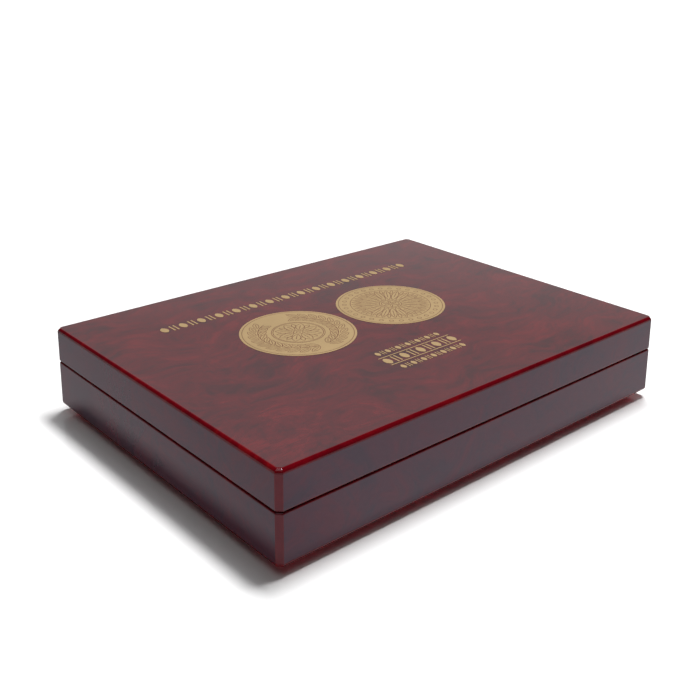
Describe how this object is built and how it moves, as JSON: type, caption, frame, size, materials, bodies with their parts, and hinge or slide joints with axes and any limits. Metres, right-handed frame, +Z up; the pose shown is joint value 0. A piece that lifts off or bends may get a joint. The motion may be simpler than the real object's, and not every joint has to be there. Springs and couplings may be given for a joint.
{
  "type": "coin case",
  "caption": "Lacquered wooden coin case with a hinged lid, a padded lid lining and a lift-out tray of round recesses over a flat space for papers.",
  "frame": {"origin": "on the surface that the case stands on, under the middle of its walls", "axes": "+X to the right along the front, -Y out of the front, +Z up"},
  "size_m": [0.305, 0.232, 0.0568],
  "materials": {
    "lacquered_wood": "high gloss lacquer over mottled red-brown stain",
    "fibreboard": "raw board",
    "felt": "pressed felt",
    "velvet": "flocked velvet",
    "satin": "smooth satin",
    "ribbon": "satin ribbon",
    "brass": "polished",
    "screws": "satin",
    "magnets": "nickel plated",
    "foot_pad": "matte",
    "gold_foil": "matt gold foil"
  },
  "bodies": {
    "base": {"base_front_wall": "lacquered_wood", "base_back_wall": "lacquered_wood", "base_left_wall": "lacquered_wood", "base_right_wall": "lacquered_wood", "base_bottom_panel": "lacquered_wood", "base_felt": "felt", "tray_rest_front": "lacquered_wood", "tray_rest_back": "lacquered_wood", "tray_rest_left": "lacquered_wood", "tray_rest_right": "lacquered_wood", "foot_front_left": "foot_pad", "foot_front_right": "foot_pad", "foot_back_left": "foot_pad", "foot_back_right": "foot_pad", "hinge_base_leaf_left": "brass", "hinge_base_leaf_right": "brass", "hinge_pin_left": "brass", "hinge_pin_right": "brass", "hinge_base_screws": "screws", "base_magnets": "magnets"},
    "lid": {"lid_top_panel": "lacquered_wood", "lid_front_wall": "lacquered_wood", "lid_back_wall": "lacquered_wood", "lid_left_wall": "lacquered_wood", "lid_right_wall": "lacquered_wood", "lid_lining_board": "fibreboard", "lid_cushion": "satin", "hinge_lid_leaf_left": "brass", "hinge_lid_leaf_right": "brass", "hinge_lid_screws": "screws", "lid_magnets": "magnets", "foil_disc_left": "gold_foil", "foil_disc_right": "gold_foil", "foil_band": "gold_foil", "foil_motif": "gold_foil"},
    "tray": {"tray_board": "fibreboard", "tray_core": "fibreboard", "tray_velvet": "velvet", "tray_pads": "velvet", "tray_ribbon_front": "ribbon", "tray_ribbon_back": "ribbon"}
  },
  "joints": [
    {"name": "lid_hinge", "type": "hinge", "parent": "base", "child": "lid", "pos_m": [0, 0.115, 0.0346], "axis": [-1, 0, 0], "range_deg": [0, 95]},
    {"name": "tray_lift", "type": "slide", "parent": "base", "child": "tray", "axis": [0, 0, 1], "range_m": [0, 0.009]}
  ]
}
